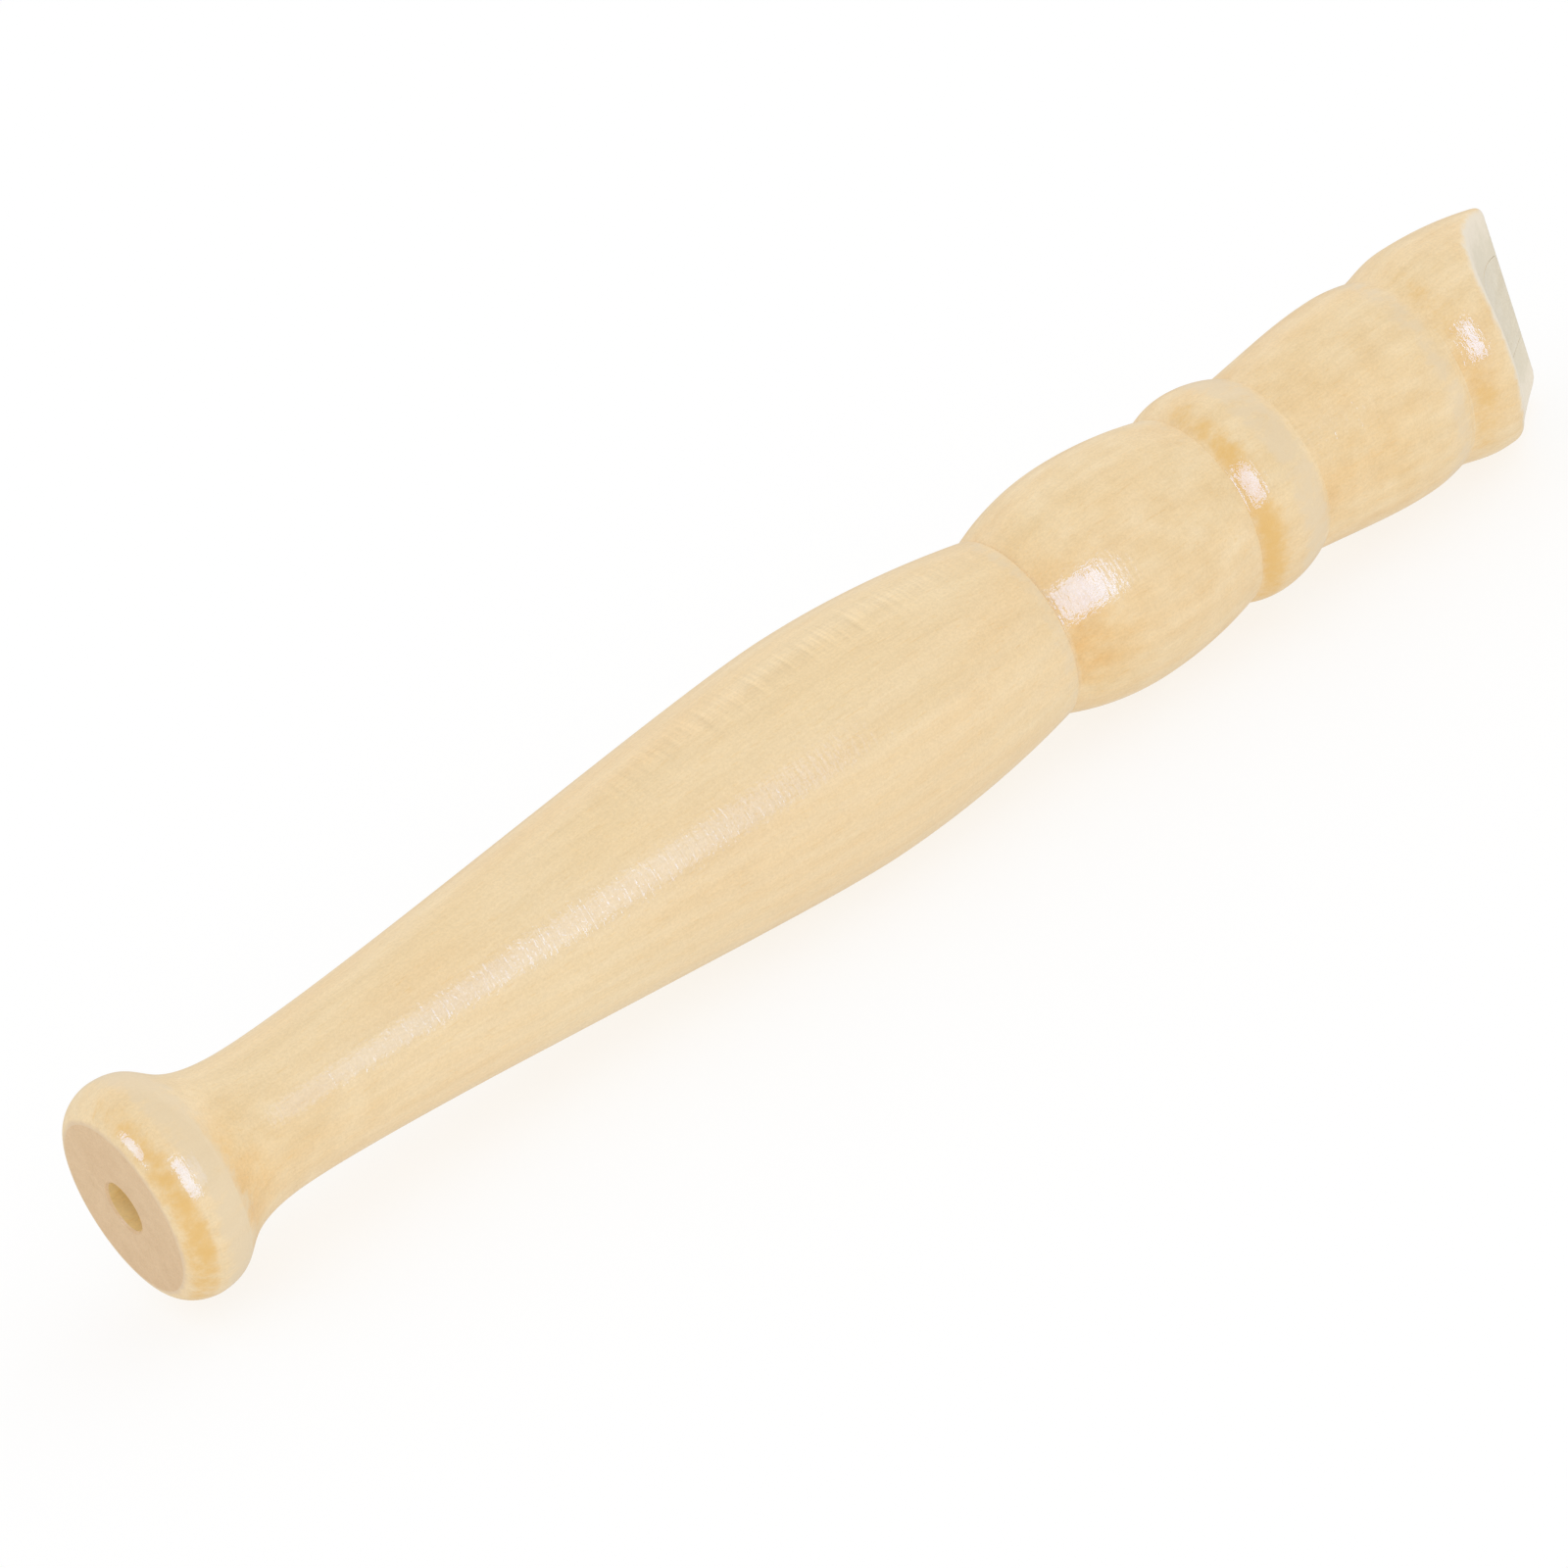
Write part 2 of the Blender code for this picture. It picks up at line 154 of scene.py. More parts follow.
def handSanding(height, turn):
    # sum of slow sine waves along and round the wood, never above zero: what a hand takes off after the lathe
    s = sandingWaves
    draw = np.random.default_rng(s["seed"])
    total = np.zeros(np.broadcast(height, turn).shape)
    for _ in range(s["count"]):
        along = draw.uniform(*s["alongs"])
        phase = draw.uniform(0, 2 * math.pi)
        size = draw.uniform(*s["shares"]) * s["depth"]
        lobes = draw.integers(0, s["lobes"])
        total += size * (np.sin(height * along + turn * lobes + phase) - 1) / 2
    return total


def gridFaces(rows, columns, closed):
    # quads between neighbouring rows, wrapped round the turns and, if closed, from the last row to the first
    i = np.arange(rows if closed else rows - 1)[:, None]
    j = np.arange(columns)[None, :]
    here, there = i * columns, (i + 1) % rows * columns
    onward = (j + 1) % columns
    return np.stack((here + j, here + onward, there + onward, there + j), axis=-1).reshape(-1, 4)


def endCaps(rows, columns, first=0):
    # one face over the first row and one over the last, for a grid whose points start at first
    loop = np.arange(columns) + first
    return [loop[::-1].tolist(), (loop + (rows - 1) * columns).tolist()]


def volumeOf(points, quads):
    # signed volume: sum of the tetrahedra from the origin to both halves of each quad
    a, b, c, d = (points[quads[:, k]] for k in range(4))
    return (np.einsum("ij,ij->i", a, np.cross(b, c)) + np.einsum("ij,ij->i", a, np.cross(c, d))).sum() / 6


def addObject(name, data):
    obj = bpy.data.objects.new(name, data)
    bpy.context.scene.collection.objects.link(obj)
    return obj


def makeObject(name, points, quads, caps, looks, marks):
    # a mesh from whole arrays: quads and end caps that face outwards, with one finish number for each quad
    points = points.reshape(-1, 3)
    step = 1 if volumeOf(points, quads) > 0 else -1
    mesh = bpy.data.meshes.new(name)
    mesh.from_pydata(points.tolist(), [], quads[:, ::step].tolist() + [cap[::step] for cap in caps])
    for look in looks:
        mesh.materials.append(look)
    allMarks = np.concatenate((marks, np.full(len(caps), marks[-1])))
    mesh.polygons.foreach_set("material_index", allMarks.astype(np.int32))
    mesh.update()
    return addObject(name, mesh)


def turnedPiece(name, radius, height, looks, marks):
    # a closed outline carried round the axis, with one finish number for each row
    quads = gridFaces(len(marks), recorder["around"], True)
    allMarks = np.repeat(marks, recorder["around"])
    return makeObject(name, lay(radius, height, turns), quads, [], looks, allMarks)


def makeCutter(name, points, quads, caps):
    # what it leaves in the wood is bare
    bare = np.full(len(quads), finishNumber["bare"])
    return makeObject(name, points, quads, caps, turnedFinishes, bare)


def carve(obj, cutter):
    # takes the cutter's volume out of the piece, and removes the cutter
    tool = obj.modifiers.new("carve", "BOOLEAN")
    tool.operation = "DIFFERENCE"
    tool.solver = "EXACT"
    tool.object = cutter
    bpy.context.view_layer.update()
    carved = bpy.data.meshes.new_from_object(obj.evaluated_get(bpy.context.evaluated_depsgraph_get()))
    obj.modifiers.clear()
    carved.name = obj.name
    obj.data = carved
    bpy.data.objects.remove(cutter, do_unlink=True)


# Where the finish is deep and where it is thin, with painted shade near the grooves, painted reflection on
# rounded edges and a painted glint on the sanding lines, as height along the recorder and turn round it

finishShape = {
    "tintsAndShades": (  # amber above a groove: start, reach, depth, squareness; lacquer pooled there, with painted shade and warm bounce in the groove and in the waist's hollow
        (121.8, 6.5, 0.36, 2),
        (159.1, 15.0, 0.13, 4),
        (180.5, 4.6, 0.20, 3),
        (7.6, 5.0, 0.30, 4),
        (12.0, 14.0, 0.08, 2),
    ),
    "poolsAndSheens": (  # patches: low end, high end, edge, + amber or - pale painted reflection
        (0.3, 3.2, 0.80, 1.2),
        (147.8, 151.3, 1.15, 1.30),
        (180.3, 183.4, 1.30, 0.75),
        # the pale bands on the flare, the shoulder's edge, the bead edges and the cone's end are painted
        # reflection of the white surround
        (3.6, 8.4, 1.50, -1.25),
        (119.6, 121.8, 0.60, -0.7),
        (146.6, 148.5, 0.60, -0.7),
        (153.6, 158.6, 0.90, -1.0),
        (176.8, 180.3, 1.10, -0.95),
    ),
    "amberSide": math.radians(-2),  # the turn round which the amber is strongest
    "amberSidePower": 8,
    "amberSideShare": 1.50,
    "poolShares": (0.42, 0.78),  # all round, and more round the amber side
    "headStart": 121.8,
    "headDepth": 0.04,  # the head's wood is a shade deeper
    "glintSide": math.radians(77),  # where the sanding lines catch the light: a painted glint
    "glintWidth": math.radians(10),
    "glintRun": (72.0, 113.0, 9.0),  # low end, high end, edge
    "offBeak": -20.0,  # inset from the rim for a piece that has no beak
}


def softBand(height, low, high, edge):
    # flat-topped step with tanh edges
    return (1 + np.tanh((height - low) / edge)) * (1 - np.tanh((height - high) / edge)) / 4


def tintAndShadeAt(height, turn):
    # half bells exp(-(run / reach) ^ squareness) that start at a groove, stronger round the amber side: amber
    # lacquer with painted shade and warm bounce near the groove
    s = finishShape
    depth = np.zeros_like(height)
    for begin, reach, strength, square in s["tintsAndShades"]:
        run = height - begin
        depth += np.where(run >= 0, strength * np.exp(-np.abs(run / reach) ** square), 0)
    low = ((1 + np.cos(turn - s["amberSide"])) / 2) ** s["amberSidePower"]
    return depth * low * s["amberSideShare"] + s["headDepth"] * (height > s["headStart"])


def poolAndSheenAt(height, turn):
    # soft bands: amber ones, stronger round the amber side, and pale ones that are painted reflection
    s = finishShape
    poolAndSheen = np.zeros_like(height)
    side = s["poolShares"][0] + s["poolShares"][1] * np.cos(turn - s["amberSide"])
    for low, high, edge, value in s["poolsAndSheens"]:
        poolAndSheen += softBand(height, low, high, edge) * value * (side if value > 0 else 1)
    return poolAndSheen


def scoredGlintAt(height, turn):
    # painted glint: a bell round the side where the sanding lines catch the light, times a soft band
    s = finishShape
    off = np.angle(np.exp(1j * (turn - s["glintSide"]))) / s["glintWidth"]
    return np.exp(-off ** 2) * softBand(height, *s["glintRun"])


def unsanded(height, radius, turn):
    # no place on the piece is near the beak's rim
    return np.full_like(height, finishShape["offBeak"])


def filedAt(height, radius):
    # how far a point lies inside the edge of the foot's face
    return bodyShape["footFace"] - radius - height


def finishPiece(obj, body, node, sanded=unsanded):
    # smooth shading with crisp edges, the depth of finish with its painted shade, reflection and glint at
    # each point, and its place on the frame
    mesh = obj.data
    mesh.shade_smooth()
    mesh.set_sharp_from_angle(angle=recorder["sharpEdge"])
    places = np.empty(len(mesh.vertices) * 3, np.float32)
    mesh.vertices.foreach_get("co", places)
    x, back, z = places.astype(float).reshape(-1, 3).T
    height, up = heightOf(x), z - recorder["axisZ"]
    turn, radius = np.arctan2(up, back), np.hypot(up, back) / mm
    layers = {
        "tintAndShade": tintAndShadeAt(height, turn),
        "poolAndSheen": poolAndSheenAt(height, turn),
        "sanded": sanded(height, radius, turn),
        "filed": filedAt(height, radius),
        "scoredGlint": scoredGlintAt(height, turn),
    }
    for name, values in layers.items():
        mesh.attributes.new(name, "FLOAT", "POINT").data.foreach_set("value", values.astype(np.float32))
    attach(obj, body)
    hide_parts(node)
    print(obj.name, "rides on", body, "with", len(mesh.polygons), "faces")


# Node helpers

def setInputs(tree, node, inputs):
    # an output socket is linked, and anything else is set on the input itself
    for name, value in inputs.items():
        if isinstance(value, bpy.types.NodeSocket):
            tree.links.new(value, node.inputs[name])
        else:
            node.inputs[name].default_value = value


def addNode(tree, kind, inputs=None, **settings):
    # a node with its settings, and its inputs linked or set
    made = tree.nodes.new(kind)
    for name, value in settings.items():
        setattr(made, name, value)
    setInputs(tree, made, inputs or {})
    return made


def noiseAt(tree, coords, perMetre, detail=2.0, rough=0.5, bend=0.0):
    # noise whose cells are one over perMetre long on each axis
    scaled = addNode(tree, "ShaderNodeMapping", {"Vector": coords, "Scale": perMetre})
    made = addNode(tree, "ShaderNodeTexNoise", {"Vector": scaled.outputs[0], "Scale": 1.0, "Detail": detail,
                                                "Roughness": rough, "Distortion": bend})
    return made.outputs["Fac"]


def ranged(tree, value, low, high, toLow=0.0, toHigh=1.0):
    # eased step from toLow to toHigh while the value goes from low to high
    inputs = {"Value": value, "From Min": low, "From Max": high, "To Min": toLow, "To Max": toHigh}
    return addNode(tree, "ShaderNodeMapRange", inputs, interpolation_type="SMOOTHSTEP").outputs[0]


def maths(tree, kind, *values):
    return addNode(tree, "ShaderNodeMath", dict(enumerate(values)), operation=kind).outputs[0]


def swing(tree, value):
    # a noise as a change to both sides of zero
    return maths(tree, "SUBTRACT", value, 0.5)


def mixed(tree, share, first, second):
    # 6 and 7 are the Mix node's two colours
    return addNode(tree, "ShaderNodeMix", {"Factor": share, 6: first, 7: second}, data_type="RGBA").outputs[2]


def layerAt(tree, name):
    return addNode(tree, "ShaderNodeAttribute", attribute_name=name).outputs["Fac"]


def bumpAt(tree, height, depth, under=None):
    # relief of the given depth, on top of the one under it
    inputs = {"Strength": 1.0, "Distance": depth, "Height": height}
    if under is not None:
        inputs["Normal"] = under
    return addNode(tree, "ShaderNodeBump", inputs).outputs[0]


def newMaterial(name):
    # a material with its node tree, its shader and the coordinates of the solid
    made = bpy.data.materials.new(name)
    made.use_nodes = True
    tree = made.node_tree
    return made, tree, tree.nodes["Principled BSDF"], addNode(tree, "ShaderNodeTexCoord").outputs["Object"]


# The wood: one solid pattern through every piece, with the grain along the recorder

woodGrain = {
    "noises": {  # cells per metre along and across, detail, roughness, bend
        "drift": ((30, 95, 95), 2.0, 0.5, 0.4),  # slow change of tone
        "streak": ((22, 620, 620), 3.0, 0.55, 0.2),
        "fibre": ((170, 3400, 3400), 2.0, 0.6),
        "pore": ((430, 5600, 5600), 1.0, 0.5),
        "speck": ((1700, 2600, 2600), 2.0, 0.7),
        "dust": ((3300, 3300, 3300), 2.0, 0.8),  # fine light and dark that the sanding left
        "score": ((2000, 110, 110), 1.0, 0.5, 0.2),  # sanding lines
        "mottle": ((240, 420, 420), 3.0, 0.6),  # patches in the amber
        "cloud": ((260, 330, 330), 2.0, 0.5),  # and in the wood under it
    },
    "driftRange": (0.35, 0.68),
    "poreRange": (0.60, 0.76),
    "dustRange": (0.2, 0.8),
    "fibreRange": (0.3, 0.7),  # over which the roughness changes
    "pith": (0.0, 0.043, 0.058),  # the tree's middle lies this far outside the piece
    "ringStretch": (0.12, 1.0, 1.0),
    "ringWave": {"Scale": 120.0, "Distortion": 3.0, "Detail": 2.0, "Detail Scale": 0.6},
    "depths": {"streak": 0.16, "rings": 0.07, "fibre": 0.12, "speck": 0.12},
    "poreDepth": 0.18,
    "cloudDepth": 0.42,
    "cloudFull": 0.04,  # amber depth, with its painted shade, at which the clouds are all there
    "mottleShare": 2.2,
    "dustShare": 0.12,
    "scoreShares": (0.04, 0.34),  # everywhere, and in the painted glint
    "shades": {"streak": 0.12, "fibre": 0.07},  # darkening that goes with the grain
    "cloudShade": 0.10,
}


def woodColour(tree, coords, look):
    # light goes through the finish twice: the pale wood is raised to a depth that the grain adds to
    g = woodGrain
    noise = {name: noiseAt(tree, coords, *values) for name, values in g["noises"].items()}
    offset = addNode(tree, "ShaderNodeMapping", {"Vector": coords, "Location": g["pith"],
                                                 "Scale": g["ringStretch"]})
    noise["rings"] = addNode(tree, "ShaderNodeTexWave", {"Vector": offset.outputs[0], **g["ringWave"]},
                             wave_type="RINGS", rings_direction="X", wave_profile="SIN").outputs["Fac"]
    change = {name: swing(tree, noise[name])
              for name in ("streak", "rings", "fibre", "speck", "score", "mottle", "cloud")}

    # amber that is partly lacquer and partly painted shade near the grooves
    tintAndShade = layerAt(tree, "tintAndShade")
    cloud = maths(tree, "MULTIPLY", change["cloud"], ranged(tree, tintAndShade, 0.0, g["cloudFull"]))
    mottle = maths(tree, "MULTIPLY_ADD", change["mottle"], g["mottleShare"], 1.0)
    depth = maths(tree, "MULTIPLY_ADD", maths(tree, "MULTIPLY", tintAndShade, mottle), look["amberDepth"], 1.0)
    depth = maths(tree, "MULTIPLY_ADD", cloud, g["cloudDepth"], depth)
    for name, share in g["depths"].items():
        share = share * look["ringShare"] if name == "rings" else share
        depth = maths(tree, "MULTIPLY_ADD", change[name], share, depth)
    pores = ranged(tree, noise["pore"], *g["poreRange"])
    depth = maths(tree, "MULTIPLY_ADD", pores, g["poreDepth"], depth)
    pale = mixed(tree, ranged(tree, noise["drift"], *g["driftRange"]), look["cream"], look["peach"])
    colour = addNode(tree, "ShaderNodeGamma", {"Color": pale, "Gamma": depth}).outputs[0]

    half = g["dustShare"] / 2
    dust = ranged(tree, noise["dust"], *g["dustRange"], 1 - half, 1 + half)
    # sanding lines, much stronger where they carry the painted glint
    everywhere, held = g["scoreShares"]
    share = maths(tree, "MULTIPLY_ADD", layerAt(tree, "scoredGlint"), held, everywhere)
    tone = maths(tree, "MULTIPLY", dust, maths(tree, "MULTIPLY_ADD", change["score"], share, 1.0))
    shade = 1.0
    for name, share in g["shades"].items():
        shade = maths(tree, "MULTIPLY_ADD", change[name], -share, shade)
    shade = maths(tree, "MULTIPLY_ADD", cloud, -g["cloudShade"], shade)
    tone = maths(tree, "MULTIPLY", tone, shade)
    colour = addNode(tree, "ShaderNodeVectorMath", {0: colour, "Scale": tone}, operation="SCALE").outputs[0]
    return colour, noise["fibre"]


# the beak's sanded wood, paled grey-green by a painted reflection of the white surround
beakSheenLook = {
    "cream": (0.800, 0.720, 0.560, 1),
    "peach": (0.790, 0.700, 0.530, 1),
    "ringShare": 1.0,
    "amberDepth": 0.0,
    "roughness": (0.39, 0.51),
    "grit": 0.012 * mm,
    "coat": 0.35,
}
bareLook = {
    "cream": (0.960, 0.740, 0.365, 1),
    "peach": (0.950, 0.710, 0.330, 1),
    "ringShare": 1.0,
    "amberDepth": 0.0,
    "roughness": (0.60, 0.72),
    "grit": 0.030 * mm,
    "coat": 0.0,
}
footLook = {
    "cream": (0.775, 0.550, 0.322, 1),
    "peach": (0.755, 0.526, 0.304, 1),
    "ringShare": 0.2,
    "amberDepth": 0.0,
    "roughness": (0.56, 0.68),
    "grit": 0.035 * mm,
    "coat": 0.15,
}
sandedGloss = {
    "tooth": ((1500, 4200, 4200), 2.0, 0.6),  # cut fibres: cells per metre, detail, roughness
    "specular": 0.30,
    "coatRoughness": 0.16,
}
lacquerLook = {
    "cream": (0.930, 0.722, 0.432, 1),
    "peach": (0.925, 0.698, 0.405, 1),
    "ringShare": 1.0,
    "amberDepth": 1.0,
    "amber": (0.865, 0.528, 0.150, 1),
    "amberShare": 0.85,
    "amberEdge": (0.20, 1.60),  # pool at which it starts and is full
    # pale colour of a painted reflection of the white surround
    "paleSheen": (0.860, 0.695, 0.465, 1),
    "paleSheenShare": 0.75,
    "paleSheenEdge": (-0.30, -1.10),
    "blotch": ((420, 620, 620), 3.0, 0.65),  # ragged edges of the patches
    "blotchShare": 2.0,
    "worn": (0.910, 0.815, 0.660, 1),  # the rim of the beak
    "wornEdge": (2.6, -1.1, 0.6),  # raggedness, inset at which it starts and is full
    "creamEdge": (8.0, 1.0, 5.5),  # bare beak inside that rim, paled by a painted reflection
    "filed": (0.800, 0.600, 0.380, 1),  # the rim of the foot's face
    "filedEdge": (1.6, -0.9, -0.05),
    "reliefs": (  # cells per metre along and across, and depth
        ((1900, 140, 140), 0.030 * mm),  # sanding lines left round the turning
        ((900, 800, 800), 0.030 * mm),  # orange peel
        ((1700, 1900, 1900), 0.035 * mm),  # fibres that show through the finish
    ),
    "reliefNoise": (2.0, 0.55, 0.3),  # detail, roughness, bend
    "roughness": (0.38, 0.50),
    "specular": 0.15,
    "coatWeight": 0.156,
    "coatRoughness": 0.11,
    "coatIor": 4.0,
}


def pooledFinishAndSheen(tree, coords, colour, look):
    # ragged patches: the step at each point plus noise, cut off softly, amber above zero and a pale painted
    # reflection below
    blotch = swing(tree, noiseAt(tree, coords, *look["blotch"]))
    ragged = maths(tree, "MULTIPLY_ADD", blotch, look["blotchShare"], layerAt(tree, "poolAndSheen"))
    for name in ("amber", "paleSheen"):
        mask = ranged(tree, ragged, *look[name + "Edge"], 0.0, look[name + "Share"])
        colour = mixed(tree, mask, colour, look[name])
    sanded, filed = layerAt(tree, "sanded"), layerAt(tree, "filed")
    for inset, edge, tone in ((sanded, look["wornEdge"], look["worn"]),
                              (sanded, look["creamEdge"], beakSheenLook["cream"]),
                              (filed, look["filedEdge"], look["filed"])):
        mask = ranged(tree, maths(tree, "MULTIPLY_ADD", blotch, edge[0], inset), *edge[1:])
        colour = mixed(tree, mask, colour, tone)
    return colour


def lacqueredWood():
    # pale wood under a hard clear coat that follows the sanding lines, the fibres and its own orange peel
    look = lacquerLook
    made, tree, shader, coords = newMaterial("lacquered wood")
    colour, fibre = woodColour(tree, coords, look)
    bump = None
    for cells, depth in look["reliefs"]:
        bump = bumpAt(tree, noiseAt(tree, coords, cells, *look["reliefNoise"]), depth, bump)
    setInputs(tree, shader, {
        "Base Color": pooledFinishAndSheen(tree, coords, colour, look),
        "Roughness": ranged(tree, fibre, *woodGrain["fibreRange"], *look["roughness"]),
        "Normal": bump,
        "Coat Normal": bump,
        "Specular IOR Level": look["specular"],
        "Coat Weight": look["coatWeight"],
        "Coat Roughness": look["coatRoughness"],
        "Coat IOR": look["coatIor"],
    })
    return made


def sandedWood(name, look):
    # bare or thinly sealed wood: the same grain, with a fine tooth where the fibres are cut
    made, tree, shader, coords = newMaterial(name)
    colour, fibre = woodColour(tree, coords, look)
    setInputs(tree, shader, {
        "Base Color": colour,
        "Normal": bumpAt(tree, noiseAt(tree, coords, *sandedGloss["tooth"]), look["grit"]),
        "Roughness": ranged(tree, fibre, *woodGrain["fibreRange"], *look["roughness"]),
        "Specular IOR Level": sandedGloss["specular"],
        "Coat Weight": look["coat"],
        "Coat Roughness": sandedGloss["coatRoughness"],
    })
    return made


corkLook = {
    "pale": (0.500, 0.300, 0.150, 1),
    "dark": (0.250, 0.125, 0.055, 1),
    "grain": (900, 900, 900),  # granules per metre
    "speck": ((1600, 1600, 1600), 3.0, 0.6),
    "speckRange": (0.62, 0.72),
    "cellShare": 0.45,
    "seamWidth": 0.12,  # of a granule
    "seamShare": 0.4,
    "seamDepth": 0.6,
    "relief": 0.08 * mm,
    "roughness": 0.88,
    "specular": 0.2,
}


def corkGrain():
    # pressed granules: cells of two browns, with dark specks and seams between them
    look = corkLook
    made, tree, shader, coords = newMaterial("cork")
    scaled = addNode(tree, "ShaderNodeMapping", {"Vector": coords, "Scale": look["grain"]})
    cellInputs = {"Vector": scaled.outputs[0], "Scale": 1.0, "Randomness": 1.0}
    cells = addNode(tree, "ShaderNodeTexVoronoi", cellInputs)
    edges = addNode(tree, "ShaderNodeTexVoronoi", cellInputs, feature="DISTANCE_TO_EDGE")
    speck = noiseAt(tree, coords, *look["speck"])
    tone = addNode(tree, "ShaderNodeSeparateColor", {"Color": cells.outputs["Color"]}).outputs[0]
    seam = ranged(tree, edges.outputs["Distance"], 0.0, look["seamWidth"], 1.0, 0.0)
    seams = maths(tree, "MULTIPLY", seam, look["seamShare"])
    share = maths(tree, "MULTIPLY_ADD", tone, look["cellShare"], seams)
    share = maths(tree, "MAXIMUM", share, ranged(tree, speck, *look["speckRange"]))
    height = maths(tree, "MULTIPLY_ADD", seam, -look["seamDepth"], speck)
    setInputs(tree, shader, {
        "Base Color": mixed(tree, share, look["pale"], look["dark"]),
        "Normal": bumpAt(tree, height, look["relief"]),
        "Roughness": look["roughness"],
        "Specular IOR Level": look["specular"],
    })
    return made


finishes = {
    "lacquer": lacqueredWood(),
    "bare": sandedWood("bare wood", bareLook),
    "foot": sandedWood("foot end grain", footLook),
    "beak": sandedWood("beak wood with painted sheen", beakSheenLook),
    "cork": corkGrain(),
}
turnedOrder = ("lacquer", "bare", "foot")
turnedFinishes = [finishes[name] for name in turnedOrder]
finishNumber = {name: number for number, name in enumerate(turnedOrder)}
print("finishes:", ", ".join(finishes))

# Body: flared foot, waist, long taper, swell and shoulder, the tenon above, and a bore that narrows downwards

bodyShape = {
    "footFace": 10.0,
    "footRound": 4.1,
    "footSquareness": 1.8,
    "flare": 12.8,
    "flareLength": 14.8,
    "flareEase": (0.39, 0.80),
    "waist": 8.3,
    "taperLength": 76.3,
    "taperEase": (0.22, 0.18),
    "swell": (bodyHigh.z - bodyLow.z) / 2 / mm,
    "neck": 11.15,
    "shoulderRoll": 0.5,
    "tenon": 7.9,
    "tenonTop": heightOf(bodyLow.x),
    "tenonChamfer": 0.6,
    "groove": 6.75,
    "grooveSlack": 0.3,  # beyond the cork at each end
    "tenonBore": 5.25,
    "footBore": 2.925,
    "boreEase": 0.25,
    "seatGap": 0.3,  # between body and head, at the shoulder and over the tenon
    "rimRows": 26,
    "flareRows": 56,
    "taperRows": 150,
    "shoulderRows": (56, 9),
    "faceStep": 0.4,  # between rows on the straight runs
    "tenonStep": 0.7,
    "boreStep": 1.4,
    "sandedFade": 6,  # rows over which the hand sanding ends
}
bodyShape["shoulder"] = heightOf(headHigh.x) - bodyShape["seatGap"] + recorder["seam"]


def bodyOutline():
    # a closed outline: foot face, rim, flare, taper, swell, rolled shoulder, tenon with its groove, bore
    s = bodyShape
    face = (s["footFace"], 0.0)
    crest = (s["flare"], s["footRound"])
    waist = (s["waist"], s["footRound"] + s["flareLength"])
    swell = (s["swell"], waist[1] + s["taperLength"])
    edge = (s["neck"], s["shoulder"])
    fall = rolledArc(swell, edge, s["shoulderRoll"], s["shoulderRows"])
    ringLow = heightOf(corkHigh.x) - s["grooveSlack"]
    ringHigh = heightOf(corkLow.x) + s["grooveSlack"]
    tenon = stepped((
        fall[-1],
        (s["tenon"], s["shoulder"]),
        (s["tenon"], ringLow),
        (s["groove"], ringLow),
        (s["groove"], ringHigh),
        (s["tenon"], ringHigh),
        (s["tenon"], s["tenonTop"] - s["tenonChamfer"]),
        (s["tenon"] - s["tenonChamfer"], s["tenonTop"]),
        (s["tenonBore"], s["tenonTop"]),
    ), s["tenonStep"])
    runs = (
        ("foot", stepped(((s["footBore"] + s["boreEase"], 0.0), face), s["faceStep"])),
        ("lacquer", roundedRim(face, crest, s["footSquareness"], s["rimRows"])),
        ("lacquer", easedCurve(crest, waist, s["flareEase"], s["flareRows"])),
        ("lacquer", easedCurve(waist, swell, s["taperEase"], s["taperRows"])),
        ("lacquer", fall),
        ("bare", tenon),
        ("bare", stepped((tenon[-1], (s["footBore"], s["boreEase"])), s["boreStep"])),
    )
    rows = np.concatenate([runs[0][1]] + [run[1:] for name, run in runs[1:]])
    marks = np.concatenate([np.full(len(run) - 1, finishNumber[name]) for name, run in runs]
                           + [[finishNumber["foot"]]])
    outside = np.concatenate([run for name, run in runs if name == "lacquer"])
    return rows, marks, outside


fingerHoles = {
    "count": 6,
    "lowest": 32.0,
    "pitch": 13.5,
    "radius": 2.6,
    "ease": 0.45,  # rounding of the rim
    "easeArc": 72,  # degrees of it
    "easeRows": 8,
    "clear": 0.08,  # of the rounding, that the drill stands proud of the wood
    "around": 64,
    "inside": -1.0,  # depth where the drill starts, inside the bore
    "outside": -22.0,
}


def fingerDrills(outside):
    # drills whose flared rims follow the wood: each row is a circle at a depth below the body's own surface
    s = fingerHoles
    roll = np.radians(np.linspace(0, s["easeArc"], s["easeRows"]))
    spread = np.concatenate((s["radius"] + s["ease"] * (1 - np.cos(roll)), [s["radius"] + s["ease"]] * 2))
    below = np.concatenate((-s["ease"] * (1 - np.sin(roll)), [s["ease"] * s["clear"]]))
    turn = np.linspace(0, 2 * math.pi, s["around"], endpoint=False)
    middles = s["lowest"] + s["pitch"] * np.arange(s["count"])
    height = middles[:, None, None] + spread[None, :, None] * np.cos(turn)
    across = np.broadcast_to(spread[None, :, None] * np.sin(turn), height.shape)
    radius = np.interp(height, outside[:, 1], outside[:, 0])
    depth = -np.sqrt(radius ** 2 - across ** 2)
    depth[:, :-1] -= below[None, :, None]
    depth[:, -1] = s["outside"]
    start = np.full_like(depth[:, :1], s["inside"])
    places = placed(*(np.concatenate(pair, axis=1) for pair in
                      ((height[:, :1], height), (start, depth), (across[:, :1], across))))
    rows = places.shape[1]
    size = rows * s["around"]
    firsts = size * np.arange(s["count"])
    quads = np.concatenate([gridFaces(rows, s["around"], False) + first for first in firsts])
    caps = [cap for first in firsts for cap in endCaps(rows, s["around"], first)]
    return makeCutter("fingerDrills", places, quads, caps)


